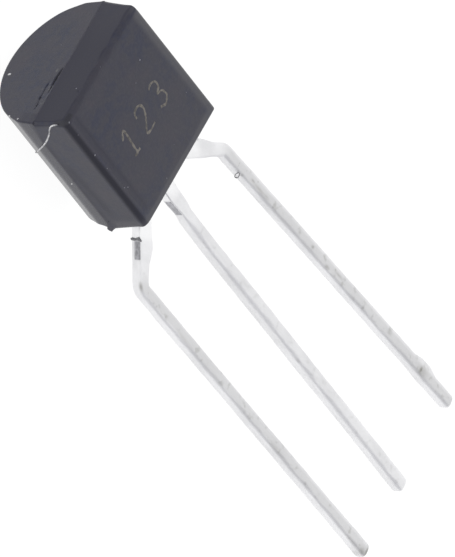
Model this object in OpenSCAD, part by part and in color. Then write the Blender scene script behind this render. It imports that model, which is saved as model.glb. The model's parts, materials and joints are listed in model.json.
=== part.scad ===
// Through-hole transistor in a D-shaped moulded package, with three formed leads.
// It lies as it comes to rest: flat face up, on its round back and its three lead tips.
// Pieces are drawn in the package's own axes: X across the leads, Y from the flat face to
// the round back, Z up the body from its lead end, with the leads' centre plane at Y = 0.

/* [Moulded body] */
// Width across the body at the parting plane
body_w = 4.6; // [4.1:0.05:5.5]
// Height of the body from its lead end to its top
body_h = 4.7; // [4:0.02:5.6]
// Distance from the leads' centre plane to the flat face
front_depth = 1.28; // [1.05:0.01:1.6]
// Distance from the leads' centre plane to the crown of the round back
back_depth = 2.14; // [1.8:0.02:2.6]
// Draft of the front half's two sides, in degrees
side_draft = 4; // [1:0.5:7]
// Draft of the front half's top and lead end, in degrees
end_draft = 2.5; // [1:0.5:5]
// Rounding of the flat face's edge on the collector's side
side_edge_r = 0.2; // [0.05:0.01:0.3]
// Rounding of the flat face's top edge
top_edge_r = 0.12; // [0.05:0.01:0.3]
// Rounding of the flat face's other two edges
flat_edge_r = 0.06; // [0.04:0.01:0.2]
// Rounding of the front half's four corners
corner_r = 0.12; // [0.05:0.01:0.2]
// Rounding of the round back's rims
rim_r = 0.05; // [0.03:0.01:0.2]

/* [Mould marks] */
// Step down from the round back to the front half, all round the parting line
parting_step = 0.03; // [0.01:0.01:0.06]
// Diameter of the ejector pin's mark on the round back
ejector_d = 1.5; // [0.8:0.1:2]
// Depth of the ejector pin's mark at the crown
ejector_depth = 0.2; // [0.05:0.01:0.38]
// Length of the broken gate's scar along the top parting edge
gate_l = 1.4; // [0.6:0.1:2]
// Width of the gate's scar, from the parting plane towards the back
gate_w = 0.24; // [0.1:0.02:0.4]
// Depth of the gate's scar
gate_depth = 0.05; // [0.02:0.01:0.1]
// Distance of the gate's scar from the body's middle
gate_x = -0.95; // [-1.2:0.05:1.2]
// Reach of the flash left at the parting line's lower corner, beyond the body's side
flash_reach = 0.05; // [0.02:0.01:0.15]
// Length of the flash along the lead end
flash_l = 0.16; // [0.1:0.01:0.5]
// Thickness of the flash
flash_t = 0.05; // [0.03:0.01:0.1]

/* [Leads] */
// Thickness of the lead frame's sheet
frame_t = 0.34; // [0.25:0.01:0.5]
// Width of a lead below the dam bar
lead_w = 0.38; // [0.3:0.01:0.5]
// Width of a lead between the body and the dam bar
root_w = 0.5; // [0.4:0.01:0.62]
// Pitch of the leads where they leave the body
root_pitch = 1.27; // [1.1:0.01:1.5]
// Distance of the middle lead from the body's middle, towards the emitter's side
base_offset = 0.06; // [0:0.01:0.15]
// Distance from the body's lead end to the lead tips
lead_l = 14.4; // [8:0.05:18]
// Straight drop from the body to the corner where the outer leads splay
splay_drop = 0.71; // [0.55:0.01:1.1]
// Centre-line radius of every bend
bend_r = 0.36; // [0.3:0.01:0.5]
// Start of the sheared dam bar, measured along the lead from the body
dam_start = 1.3; // [1:0.02:1.7]
// End of the sheared dam bar, measured along the lead from the body
dam_end = 1.92; // [1.8:0.02:2.4]
// Width over the dam bar's sheared stubs
dam_w = 0.57; // [0.5:0.01:0.7]
// Length of the swelling where a cutter pinched the emitter lead's outer edge
pinch_l = 0.96; // [0.6:0.02:1.4]
// Height of the swelling
pinch_h = 0.1; // [0.04:0.01:0.15]
// Distance from the middle of the swelling to the lead's tip
pinch_end = 1.52; // [0.8:0.02:3]

/* [Outer leads' forming] */
// Splay of the collector lead, in degrees
collector_splay = 49.5; // [30:0.5:55]
// Splay of the emitter lead, in degrees
emitter_splay = 39.5; // [30:0.5:55]
// Distance from the body's middle to the collector lead's elbow
collector_reach = 2.79; // [2.4:0.01:3]
// Distance from the body's middle to the emitter lead's elbow
emitter_reach = 2.39; // [2.3:0.01:3]
// Lean of the collector lead below its elbow, towards the middle, in degrees
collector_lean = 1.4; // [0:0.1:4]
// Lean of the emitter lead below its elbow, away from the middle, in degrees
emitter_lean = 3.3; // [0:0.1:4]
// Lean of the middle lead towards the collector's side, in degrees
base_lean = 0.5; // [0:0.1:2]

/* [Lead frame inside the body] */
// Width of the die pad at the collector lead's head
pad_w = 2.1; // [1.6:0.05:2.3]
// Height of the die pad
pad_h = 1.5; // [1.2:0.05:1.7]
// Distance that the die pad reaches past the collector lead, towards the body's side
pad_overhang = 0.2; // [0:0.02:0.3]
// Clear gap from one piece of the frame to the next
frame_gap = 0.3; // [0.2:0.01:0.4]
// Height of the middle lead's bond post above the lead end
base_post_z = 1.55; // [1.3:0.05:1.8]
// Width of the middle lead's bond post
base_post_w = 1; // [0.7:0.05:1.1]
// Height of the emitter lead's bond post above the lead end
emitter_post_z = 2.85; // [2.4:0.05:3.2]
// Length of each bond post's head
post_h = 0.6; // [0.4:0.05:0.9]
// Radius of the notches that lock each lead in the moulding
lock_r = 0.09; // [0.05:0.01:0.12]
// Height of the locking notches above the lead end
lock_z = 0.55; // [0.4:0.05:0.8]

/* [Die and bond wires] */
// Side of the square silicon die
die_w = 0.46; // [0.3:0.02:0.8]
// Thickness of the die
die_t = 0.2; // [0.1:0.01:0.3]
// Distance of the die's middle from the pad's outer edge
die_in = 1.3; // [0.6:0.02:1.5]
// Distance of the die's middle from the pad's lower edge
die_up = 0.68; // [0.4:0.02:0.9]
// Thickness of the layer that holds the die to its pad
attach_t = 0.03; // [0.01:0.005:0.05]
// Diameter of the bond wires
wire_d = 0.03; // [0.018:0.002:0.05]
// Height of a bond wire's crown above the die
wire_rise = 0.22; // [0.1:0.01:0.35]
// Distance of each bond pad from the die's middle
bond_offset = 0.115; // [0.05:0.005:0.18]
// Diameter of the ball bond on the die
ball_d = 0.09; // [0.06:0.01:0.12]
// Height of the ball bond, and thickness of the flattened end on the post
bond_t = 0.02; // [0.01:0.005:0.03]

/* [Hidden] */
$fn = 96;

compound = [0.2, 0.21, 0.24];
tin = [0.8, 0.81, 0.83];
gold = [0.85, 0.66, 0.25];
silicon = [0.3, 0.32, 0.36];
solder = [0.62, 0.62, 0.6];
corner_steps = 6; // flats round a quarter turn of an eased edge
bend_steps = 8; // flats round each bend of a lead
wire_sides = 8; // sides of a bond wire
wire_steps = 14; // stretches along a bond wire
over = 1; // how far a cutting shape runs past what it cuts
lap = 0.2; // how far joined shapes of one piece run into each other

// The round back is the arc through both ends of the parting line and the crown.
back_r = (pow(back_depth, 2) + pow(body_w / 2, 2)) / (2 * back_depth);
back_cy = back_depth - back_r;
side_inset = front_depth * tan(side_draft);
end_inset = front_depth * tan(end_draft);

// Broken outline of the gate's scar, as shares of its length and width from the parting plane.
GATE_SCAR = [[-0.5, 0], [0.5, 0], [0.42, 0.55], [0.1, 0.7], [-0.08, 1], [-0.36, 0.82], [-0.44, 0.3]];

// A lead is [root x, splay, elbow x, lean]; its angles turn from straight down towards +X.
COLLECTOR = [-root_pitch, -collector_splay, -collector_reach, collector_lean];
BASE = [base_offset, 0, base_offset, -base_lean];
EMITTER = [root_pitch, emitter_splay, emitter_reach, emitter_lean];
LEADS = [COLLECTOR, BASE, EMITTER];

// The die pad's lower edge clears the middle post, and its inner end the emitter's post.
pad_z = base_post_z + frame_gap;
pad_x = -root_pitch - root_w / 2 - pad_overhang;
emitter_post_x = pad_x + pad_w + frame_gap;
emitter_post_w = root_pitch + root_w / 2 - emitter_post_x;

// The die sits on the pad's face that looks towards the flat.
sheet_y = -frame_t / 2;
die_x = pad_x + die_in;
die_y = sheet_y - attach_t - die_t;
die_z = pad_z + die_up;

// Bond wires are [start on the die, end on the post], both as X and Z.
BASE_WIRE = [[die_x + bond_offset / 2, die_z - bond_offset], [BASE[0], base_post_z - post_h / 2]];
EMITTER_WIRE = [[die_x + bond_offset, die_z + bond_offset / 2],
                [emitter_post_x + emitter_post_w / 2, emitter_post_z - post_h / 2]];
wire_lean = 0.45; // share of its run that a bond wire covers before it comes down
foot_spread = 1.8; // width of a wire's flattened end, in wire diameters
crown_share = 3 / 4; // height of a cubic curve's crown, as a share of its handles

function toward(a) = [sin(a), -cos(a)];
function across(a) = [cos(a), sin(a)];
function deg_arc(a) = abs(a) * PI / 180;

// Lengths of a lead's five stretches: straight root, bend, splay, bend and straight shank.
function turns(l) = [l[1], l[3] - l[1]];
function tangent(a) = bend_r * tan(abs(a) / 2);
function splay_l(l) = l[1] == 0 ? 0 : (l[2] - l[0]) / sin(l[1]);
function elbow_z(l) = -splay_drop - splay_l(l) * cos(l[1]);
function shank_l(l) = (lead_l + elbow_z(l)) / cos(l[3]);
function stretches(l) = let (t = [tangent(turns(l)[0]), tangent(turns(l)[1])]) [
    splay_drop - t[0],
    bend_r * deg_arc(turns(l)[0]),
    max(splay_l(l) - t[0] - t[1], 0),
    bend_r * deg_arc(turns(l)[1]),
    shank_l(l) - t[1]
];

// Start of stretch i, measured along the lead from the body.
function start(l, i) = i == 0 ? 0 : start(l, i - 1) + stretches(l)[i - 1];
function lead_run(l) = start(l, 5);

// A bend's arc, a degrees of the turn beyond its start, which is at p with heading h.
function swing(p, h, a) = p + sign(a) * bend_r * (across(h) - across(h + a));

// [point, heading] of the centre line, s mm along the lead from the body.
function on_lead(l, s) = let (
    q = stretches(l),
    a = turns(l),
    p1 = [l[0], -q[0]],
    p2 = swing(p1, 0, a[0]),
    p3 = p2 + q[2] * toward(l[1]),
    p4 = swing(p3, l[1], a[1]),
    part = [for (i = [0:4]) s - start(l, i)]
)
    s <= start(l, 1) ? [[l[0], -s], 0] :
    s <= start(l, 2) ? let (b = a[0] * part[1] / q[1]) [swing(p1, 0, b), b] :
    s <= start(l, 3) ? [p2 + part[2] * toward(l[1]), l[1]] :
    s <= start(l, 4) ? let (b = a[1] * part[3] / q[3]) [swing(p3, l[1], b), l[1] + b] :
    [p4 + part[4] * toward(l[3]), l[3]];

// Stations that follow both bends between s0 and s1.
function stations(l, s0, s1) = concat(
    [s0],
    [for (i = [1, 3], k = [0:bend_steps])
        let (s = start(l, i) + stretches(l)[i] * k / bend_steps)
        if (stretches(l)[i] > 0 && s > s0 + 0.001 && s < s1 - 0.001) s],
    [s1]
);
function edge_points(l, s0, s1, w) = [for (s = stations(l, s0, s1))
    let (c = on_lead(l, s)) c[0] + w / 2 * across(c[1])];
function reversed(v) = [for (i = [len(v) - 1:-1:0]) v[i]];
function band_points(l, s0, s1, w) = concat(edge_points(l, s0, s1, -w), reversed(edge_points(l, s0, s1, w)));

// Where the part comes to rest: the lead tips and the back's lower rim touch the floor.
reach_y = back_depth - rim_r - frame_t / 2;
reach_z = lead_l + rim_r;
rest_tilt = atan(reach_y / reach_z) + asin(rim_r / norm([reach_y, reach_z]));
rest_lift = lead_l * sin(rest_tilt) + frame_t / 2 * cos(rest_tilt);
top_y = (body_h - rim_r) * cos(rest_tilt) + (back_depth - rim_r) * sin(rest_tilt) + rim_r;
tip_y = lead_l * cos(rest_tilt) + frame_t / 2 * sin(rest_tilt);
lead_xs = [for (l = LEADS, p = band_points(l, 0, lead_run(l), lead_w)) p.x];
middle_x = (min(lead_xs) + max(lead_xs)) / 2;

module at_rest() {
    translate([middle_x, (top_y - tip_y) / 2, rest_lift])
        rotate([-rest_tilt, 0, 0])
            rotate([-90, 0, 180])
                children();
}

// Lead-frame sheet: a profile drawn in X and Z, centred on the leads' plane.
module sheet() {
    rotate([90, 0, 0]) linear_extrude(frame_t, center = true) children();
}

module band(l, s0, s1, w) {
    polygon(band_points(l, s0, s1, w));
}

// The lead outside the body: narrow shank, wider root and the sheared dam bar's stubs.
module formed_lead(l) {
    band(l, 0, lead_run(l), lead_w);
    band(l, 0, dam_end, root_w);
    band(l, dam_start, dam_end, dam_w);
}

// The stem inside the body, from the root to the pad or post that starts at height z,
// with a notch in each side that locks it in the moulding.
module stem(l, z) {
    difference() {
        translate([l[0] - root_w / 2, -lap]) square([root_w, z + 2 * lap]);
        for (side = [-1, 1]) translate([l[0] + side * root_w / 2, lock_z]) circle(lock_r);
    }
}

module collector_profile() {
    formed_lead(COLLECTOR);
    stem(COLLECTOR, pad_z);
    translate([pad_x, pad_z]) square([pad_w, pad_h]);
}

module base_profile() {
    formed_lead(BASE);
    stem(BASE, base_post_z - post_h);
    translate([BASE[0] - base_post_w / 2, base_post_z - post_h]) square([base_post_w, post_h]);
}

// A low swelling of the outer edge, e mm before the tip.
module pinch(l, e) {
    r = (pow(pinch_l / 2, 2) + pow(pinch_h, 2)) / (2 * pinch_h);
    c = on_lead(l, lead_run(l) - e);
    translate(c[0]) rotate(c[1]) translate([lead_w / 2, 0])
        intersection() {
            translate([pinch_h - r, 0]) circle(r);
            translate([-lead_w / 2, -pinch_l / 2]) square([lead_w, pinch_l]);
        }
}

module emitter_profile() {
    formed_lead(EMITTER);
    pinch(EMITTER, pinch_end);
    stem(EMITTER, emitter_post_z - post_h);
    translate([emitter_post_x, emitter_post_z - post_h]) square([emitter_post_w, post_h]);
}

module on_pad(y, t) {
    translate([die_x - die_w / 2, y - t, die_z - die_w / 2]) cube([die_w, t, die_w]);
}

function bezier(p, t) = pow(1 - t, 3) * p[0] + 3 * t * pow(1 - t, 2) * p[1]
    + 3 * t * t * (1 - t) * p[2] + pow(t, 3) * p[3];

// The wire rises straight off its ball, bends over, and comes down flat on to the post.
function wire_path(w) = let (
    a = [w[0].x, die_y - bond_t / 2, w[0].y],
    b = [w[1].x, sheet_y - wire_d / 2, w[1].y],
    up = [0, -wire_rise / crown_share, 0],
    ctrl = [a, a + up, b + (a - b) * wire_lean + up * (1 - wire_lean), b]
) [for (i = [0:wire_steps]) bezier(ctrl, i / wire_steps)];

module wire(w) {
    path = wire_path(w);
    run = path[wire_steps] - path[0];
    side = cross(run, [0, 1, 0]) / norm(cross(run, [0, 1, 0]));
    rings = [for (i = [0:wire_steps])
        let (
            ahead = path[min(i + 1, wire_steps)] - path[max(i - 1, 0)],
            up = cross(side, ahead / norm(ahead))
        )
        for (k = [0:wire_sides - 1])
            let (a = 360 * (k + 0.5) / wire_sides)
            path[i] + wire_d / 2 * (cos(a) * side + sin(a) * up)];
    last = wire_steps * wire_sides;
    walls = [for (i = [0:wire_steps - 1], k = [0:wire_sides - 1])
        let (
            j = (k + 1) % wire_sides,
            row = i * wire_sides,
            next = row + wire_sides
        )
        [row + k, next + k, next + j, row + j]];
    ends = [[for (k = [0:wire_sides - 1]) k], [for (k = [wire_sides - 1:-1:0]) last + k]];
    polyhedron(rings, concat(walls, ends));
    translate([w[0].x, die_y, w[0].y]) rotate([90, 0, 0]) cylinder(d = ball_d, h = bond_t, $fn = 24);
    translate([w[1].x, sheet_y - bond_t / 2, w[1].y])
        rotate([0, atan2(-run.z, run.x), 0])
            cube([ball_d, bond_t, wire_d * foot_spread], center = true);
}

// Points that round the corner p between a and b of a convex, anticlockwise outline.
function corner(a, p, b, r) = let (
    u = (a - p) / norm(a - p),
    v = (b - p) / norm(b - p),
    half = acos(u * v) / 2,
    c = p + (u + v) / norm(u + v) * r / sin(half),
    from = p + u * r / tan(half) - c,
    a0 = atan2(from.y, from.x)
) r == 0 ? [p] : [for (k = [0:corner_steps]) let (t = a0 + (180 - 2 * half) * k / corner_steps)
    c + r * [cos(t), sin(t)]];
function eased(pts, r) = let (n = len(pts))
    [for (i = [0:n - 1]) each corner(pts[(i + n - 1) % n], pts[i], pts[(i + 1) % n], r[i])];

// Front half: the sides draw in to the flat, and so do the top and the lead end.
module front_half() {
    hw = body_w / 2 - parting_step;
    z0 = parting_step;
    z1 = body_h - parting_step;
    intersection() {
        linear_extrude(body_h)
            polygon(eased([[hw, 0], [-hw, 0], [side_inset - hw, -front_depth], [hw - side_inset, -front_depth]],
                [0, 0, side_edge_r, flat_edge_r]));
        rotate([90, 0, -90]) linear_extrude(body_w + over, center = true)
            polygon(eased([[-over, z0], [0, z0], [front_depth, z0 + end_inset],
                [front_depth, z1 - end_inset], [0, z1], [-over, z1]],
                [0, 0, flat_edge_r, top_edge_r, 0, 0]));
        translate([0, over, 0]) rotate([90, 0, 0]) linear_extrude(front_depth + 2 * over)
            polygon(eased([[-hw, z0], [hw, z0], [hw, z1], [-hw, z1]], [corner_r, corner_r, corner_r, corner_r]));
    }
}

// Round back: a turned form with rounded rims, cut off at the parting plane.
module round_back() {
    intersection() {
        translate([0, back_cy, 0]) rotate_extrude()
            polygon(eased([[0, 0], [back_r, 0], [back_r, body_h], [0, body_h]], [0, rim_r, rim_r, 0]));
        translate([-body_w, 0, -over]) cube([2 * body_w, back_depth + over, body_h + 2 * over]);
    }
}

// A thin fin of flash at the parting line's corner, on the collector's side.
module flash() {
    x = -body_w / 2;
    rotate([90, 0, 0]) translate([0, 0, -flash_t]) linear_extrude(flash_t)
        polygon([[x - flash_reach, -flash_reach / 2], [x + flash_l, parting_step],
                 [x + flash_l, lap], [x + parting_step, lap]]);
}

module mould_marks() {
    translate([0, back_depth - ejector_depth, body_h / 2]) rotate([-90, 0, 0])
        cylinder(d = ejector_d, h = ejector_depth + over);
    translate([gate_x, 0, body_h - gate_depth]) linear_extrude(over)
        polygon([for (p = GATE_SCAR) [p.x * gate_l, p.y * gate_w]]);
}

module inner_pieces() {
    sheet() collector_profile();
    sheet() base_profile();
    sheet() emitter_profile();
    on_pad(sheet_y, attach_t + die_t);
    wire(BASE_WIRE);
    wire(EMITTER_WIRE);
}

module moulded_body() {
    color(compound) at_rest() difference() {
        union() {
            front_half();
            round_back();
            flash();
        }
        mould_marks();
        inner_pieces();
    }
}

module collector_lead() {
    color(tin) at_rest() sheet() collector_profile();
}

module base_lead() {
    color(tin) at_rest() sheet() base_profile();
}

module emitter_lead() {
    color(tin) at_rest() sheet() emitter_profile();
}

module silicon_die() {
    color(silicon) at_rest() on_pad(sheet_y - attach_t, die_t);
}

module die_attach() {
    color(solder) at_rest() on_pad(sheet_y, attach_t);
}

module base_bond_wire() {
    color(gold) at_rest() wire(BASE_WIRE);
}

module emitter_bond_wire() {
    color(gold) at_rest() wire(EMITTER_WIRE);
}

moulded_body();
collector_lead();
base_lead();
emitter_lead();
silicon_die();
die_attach();
base_bond_wire();
emitter_bond_wire();
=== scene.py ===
import json
from math import acos, asin, copysign, cos, pi, radians, sin, sqrt, tan

import bpy
import numpy as np
from mathutils import Matrix, Vector


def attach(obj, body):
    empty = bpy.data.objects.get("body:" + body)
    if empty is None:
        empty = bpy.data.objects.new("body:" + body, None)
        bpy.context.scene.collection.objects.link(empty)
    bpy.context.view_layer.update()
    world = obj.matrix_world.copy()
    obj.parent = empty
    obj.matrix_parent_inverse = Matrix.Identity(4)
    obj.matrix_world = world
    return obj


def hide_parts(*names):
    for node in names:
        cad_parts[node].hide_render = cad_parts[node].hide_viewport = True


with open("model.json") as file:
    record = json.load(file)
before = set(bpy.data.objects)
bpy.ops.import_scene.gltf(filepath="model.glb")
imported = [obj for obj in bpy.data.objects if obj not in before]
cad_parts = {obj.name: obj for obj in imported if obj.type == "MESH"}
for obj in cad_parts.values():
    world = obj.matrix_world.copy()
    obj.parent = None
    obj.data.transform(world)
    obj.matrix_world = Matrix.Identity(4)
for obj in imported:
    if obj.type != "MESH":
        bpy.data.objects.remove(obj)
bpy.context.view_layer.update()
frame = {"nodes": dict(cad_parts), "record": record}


# --------------------------------------------------
# Leads
# Three leads stamped from one strip of copper alloy, with a die pad or a bond post at the
# head of each. They were dipped in tin, cut from the dam bar that joined them, and the two
# outer ones were bent out and down again, so that all three end side by side.

# The part lies flat face up, tipped a little by its round back. Its pieces are laid out in the
# package's own axes in millimetres: x across the leads, y from the flat to the round back with
# the leads' middle plane at 0, z up the body from its lead end.
MM = 0.001
BODY_H, FRONT_DEPTH = 4.7, 1.28

mounts = {m["name"]: m for m in frame["record"]["mounts"]}
flat = mounts["marking_face"]
across, back = Vector((-1, 0, 0)), -Vector(flat["axis"]).normalized()
package = Matrix((across, back, across.cross(back))).transposed().to_4x4()
package.translation = Vector(flat["pos_m"]) - package.to_3x3() @ Vector(
    (0, -FRONT_DEPTH, BODY_H / 2)) * MM

SHEET_T, ROOT_W = 0.34, 0.5
ROOT_PITCH, MIDDLE_OFFSET = 1.27, 0.06
SPLAY_DROP, BEND_R = 0.71, 0.36
DAM_START, DAM_END = 1.25, 1.86
HEAD_STEP = 0.012  # half the run over which a width steps
STATION, BEND_STATION = 0.045, 0.028  # spacing of its rings, and round its bends
CORNER_POINTS, SIDE_POINTS = 6, 8  # round each edge of a section, and between two
EDGE_R, RIGHT_R, FRONT_R = 0.05, 0.07, 0.11  # stamped edges, and one rolled by the tin
ROLL_RUN, FRONT_R_VARIES = 0.7, 0.35
CROWN, CROWN_SHIFT = 0.034, 0.05  # height of the tin's crown, and its lean
TIP_R, TIP_SHARE = 0.17, 0.38  # how far a tip is rounded, and the share left there
TIP_STATIONS = np.array((0.04, 0.12, 0.25, 0.45, 0.7))  # shares of TIP_R
BACK_RUN = (1.9, 2.3), (8.5, 12.0)  # where tin that ran down a back starts and ends
# Waves of the dip, as height and length: of the edges, of the faces and finer ones.
EDGE_WAVE, FACE_WAVE, RIPPLE = (0.006, 0.35), (0.004, 0.6), (0.003, 0.25)
NO_TEAR = (0, 0, 0, 0, 0)
LEAD_MASKS = ("dull", "torn", "stained", "bright")


def build(name, points, faces, material, sharp=40, attributes=()):
    """A mesh from points in the package's axes."""
    turn, shift = np.array(package.to_3x3()), np.array(package.translation)
    mesh = bpy.data.meshes.new(name)
    mesh.from_pydata((np.asarray(points, float) * MM) @ turn.T + shift, [], faces)
    mesh.materials.append(material)
    for label, values in attributes:
        mesh.attributes.new(label, "FLOAT", "POINT").data.foreach_set("value", values)
    mesh.shade_smooth()
    mesh.set_sharp_from_angle(angle=radians(sharp))
    mesh.validate()
    piece = bpy.data.objects.new(name, mesh)
    bpy.context.scene.collection.objects.link(piece)
    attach(piece, "root")
    return piece


def add(tree, kind, inputs, **settings):
    """A shader node whose sockets are given values or other nodes' outputs."""
    made = tree.nodes.new("ShaderNode" + kind)
    for label, value in settings.items():
        setattr(made, label, value)
    for label, value in inputs.items():
        if isinstance(value, bpy.types.NodeSocket):
            tree.links.new(value, made.inputs[label])
        else:
            made.inputs[label].default_value = value
    return made


def blended(tree, share, first, second):
    """The colour between two others, by a mask."""
    return add(tree, "Mix", {0: share, 6: first, 7: second}, data_type="RGBA").outputs[2]


def between(tree, share, first, second):
    """The number between two others, by a mask."""
    return add(tree, "Mix", {0: share, 2: first, 3: second}).outputs[0]


def product(tree, first, second):
    """The product of two numbers."""
    return add(tree, "Math", {0: first, 1: second}, operation="MULTIPLY").outputs[0]


def window(tree, value, low, high):
    """0 below low, 1 above high, and a soft step between."""
    return add(tree, "MapRange", {"Value": value, "From Min": low, "From Max": high},
               interpolation_type="SMOOTHSTEP").outputs["Result"]


def painted(tree, name):
    """A mask that the mesh carries on its points."""
    return add(tree, "Attribute", {}, attribute_name=name).outputs["Fac"]


def grain_effect():
    """Fine grain and soft blotches, at scales per millimetre."""
    tree = bpy.data.node_groups.new("grain", "ShaderNodeTree")
    for label, kind in (("Grain", "Float"), ("Blotch", "Float"), ("Stretch", "Vector")):
        tree.interface.new_socket(label, in_out="INPUT", socket_type="NodeSocket" + kind)
    for label in ("Grain", "Blotch"):
        tree.interface.new_socket(label, in_out="OUTPUT", socket_type="NodeSocketFloat")
    given, out = (tree.nodes.new("NodeGroup" + end) for end in ("Input", "Output"))
    place = add(tree, "TexCoord", {}).outputs["Object"]
    scaled = add(tree, "VectorMath", {0: place, "Scale": 1 / MM}, operation="SCALE").outputs[0]
    spread = add(tree, "VectorMath", {0: scaled, 1: given.outputs["Stretch"]},
                 operation="MULTIPLY").outputs[0]
    for label, detail in (("Grain", 3), ("Blotch", 4)):
        noise = add(tree, "TexNoise", {"Vector": spread, "Scale": given.outputs[label], "Detail": detail})
        tree.links.new(noise.outputs["Fac"], out.inputs[label])
    return tree


grain = grain_effect()


def grained(tree, fine, blotch, stretch=(1, 1, 1)):
    """The grain effect placed in a material with its own scales."""
    made = add(tree, "Group", {"Grain": fine, "Blotch": blotch, "Stretch": stretch}, node_tree=grain)
    return made.outputs["Grain"], made.outputs["Blotch"]


def surface(name, **sockets):
    """A material, its node tree and its shader's sockets, with plain values set."""
    made = bpy.data.materials.new(name)
    made.use_nodes = True
    shader = made.node_tree.nodes["Principled BSDF"]
    for label, value in sockets.items():
        shader.inputs[label.replace("_", " ")].default_value = value
    return made, made.node_tree, shader.inputs


def bumped(tree, shader, height, depth):
    """Relief of that depth in millimetres from a height between 0 and 1."""
    bump = add(tree, "Bump", {"Height": height, "Distance": depth * MM})
    tree.links.new(bump.outputs["Normal"], shader["Normal"])


def tin_plating():
    """Dull dipped tin, pale where it lies thick, with torn edges at the dam bar and a few stains."""
    pale, grey, dulled = (0.955, 0.955, 0.965, 1), (0.87, 0.87, 0.88, 1), (0.7, 0.7, 0.705, 1)
    dirt, stain = (0.56, 0.56, 0.55, 1), (0.16, 0.155, 0.12, 1)
    tear_dark, tear_light = (0.36, 0.36, 0.38, 1), (0.54, 0.54, 0.57, 1)
    made, tree, shader = surface("tin_plating", IOR=1.5)
    fine, blotch = grained(tree, 9, 1.6, (1, 0.5, 1))
    spots, cloud = grained(tree, 4.5, 0.5)
    dull, torn_off, stained, bright = (painted(tree, name) for name in LEAD_MASKS)
    colour = blended(tree, window(tree, blotch, 0.38, 0.68), pale, grey)
    colour = blended(tree, dull, colour, dulled)
    colour = blended(tree, product(tree, dull, window(tree, spots, 0.56, 0.72)), colour, dirt)
    colour = blended(tree, stained, colour, stain)
    rough_tear = blended(tree, window(tree, fine, 0.35, 0.65), tear_dark, tear_light)
    tree.links.new(blended(tree, torn_off, colour, rough_tear), shader["Base Color"])
    worn = between(tree, bright, between(tree, fine, 0.42, 0.58), 0.3)
    tree.links.new(between(tree, torn_off, worn, 0.65), shader["Roughness"])
    tree.links.new(between(tree, bright, 0.65, 0.92), shader["Metallic"])
    bumped(tree, shader, between(tree, cloud, fine, spots), 0.012)
    return made


def torn_metal():
    """A burr that the dam punch left: bare copper alloy, dark and rough."""
    made, tree, shader = surface("torn_metal", Metallic=1.0)
    fine, blotch = grained(tree, 22, 5)
    tree.links.new(blended(tree, fine, (0.13, 0.13, 0.14, 1), (0.4, 0.4, 0.41, 1)),
                   shader["Base Color"])
    tree.links.new(between(tree, blotch, 0.5, 0.75), shader["Roughness"])
    bumped(tree, shader, fine, 0.02)
    return made


def smooth(value, low, high):
    """0 below low, 1 above high, and a soft step between."""
    t = np.clip((value - low) / (high - low), 0, 1)
    return t * t * (3 - 2 * t)


def band(value, rise, fall):
    """A soft step up to 1 over the span rise, and down again over the span fall."""
    return smooth(value, *rise) * (1 - smooth(value, *fall))


def wander(at, step, seed):
    """A smooth random run between -1 and 1, with a knot every step."""
    knots = np.random.default_rng(seed).uniform(-1, 1, 4000)
    t = np.asarray(at, float) / step + 50
    i = np.floor(t).astype(int)
    f = (t - i) ** 2 * (3 - 2 * (t - i))
    return knots[i] * (1 - f) + knots[i + 1] * f


def unit(vectors):
    """Vectors of length one."""
    return vectors / np.linalg.norm(vectors, axis=-1, keepdims=True)


def run_along(points):
    """The distance of each point along the path through them."""
    return np.r_[0, np.cumsum(np.linalg.norm(np.diff(points, axis=0), axis=1))]


def bent_path(corners, stops):
    """Stations along a path with rounded corners: distance, point and heading of each.
    The distance is 0 at the body's lead end and negative inside the body."""
    points, headings = [], []
    corners = [np.array(c, float) for c in corners]
    at = corners[0]
    for before, corner, after in zip(corners, corners[1:], corners[2:] + [None]):
        ahead, end, turn = unit(corner - before), corner, 0
        if after is not None:
            turned = unit(after - corner)
            turn = acos(np.clip(ahead @ turned, -1, 1))
            end = corner - ahead * BEND_R * tan(turn / 2)
        count = max(2, int(np.linalg.norm(end - at) / STATION))
        for t in np.linspace(0, 1, count, endpoint=after is None):
            points.append(at + (end - at) * t)
            headings.append(ahead)
        at = end
        if turn:
            side = np.array([ahead[1], -ahead[0]])
            side *= np.sign(side @ turned)
            centre = end + side * BEND_R
            count = max(2, int(turn * BEND_R / BEND_STATION))
            for t in np.linspace(0, turn, count, endpoint=False):
                points.append(centre + BEND_R * (ahead * sin(t) - side * cos(t)))
                headings.append(ahead * cos(t) + side * sin(t))
            at = centre + BEND_R * (ahead * sin(turn) - side * cos(turn))
    points, headings = np.array(points), np.array(headings)
    run = run_along(points) - corners[0][1]
    keep = np.unique(np.r_[run, stops, run[-1] - TIP_R * TIP_STATIONS])
    path = [np.interp(keep, run, v) for v in (*points.T, *headings.T)]
    return keep, np.stack(path[:2], 1), np.stack(path[2:], 1)


def section(left, right, radii, crown):
    """A closed ring round a bar with rounded edges, from its front left one on. Tin crowns its front."""
    half, ring = SHEET_T / 2, []
    corners = np.array([(-left, -half), (right, -half), (right, half), (-left, half)])
    for k, (corner, r) in enumerate(zip(corners, radii)):
        turn = np.radians(np.linspace(180, 270, CORNER_POINTS) + 90 * k)
        ring += list(corner - np.copysign(r, corner) + r * np.stack([np.cos(turn), np.sin(turn)], 1))
        # Then a side, across or front to back by turns, up to the next edge.
        start, end, along = ring[-1], ring[-1].copy(), k % 2
        reach, next_r = corners[(k + 1) % 4][along], radii[(k + 1) % 4]
        end[along] = reach - copysign(next_r, reach)
        ring += [start + (end - start) * t for t in np.linspace(0, 1, SIDE_POINTS)[1:-1]]
    x, y = np.array(ring).T
    lean = (x + CROWN_SHIFT) / (max(left, right) + CROWN_SHIFT)
    return np.stack([x, y + crown * (y < 0) * lean ** 2], 1)


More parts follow.
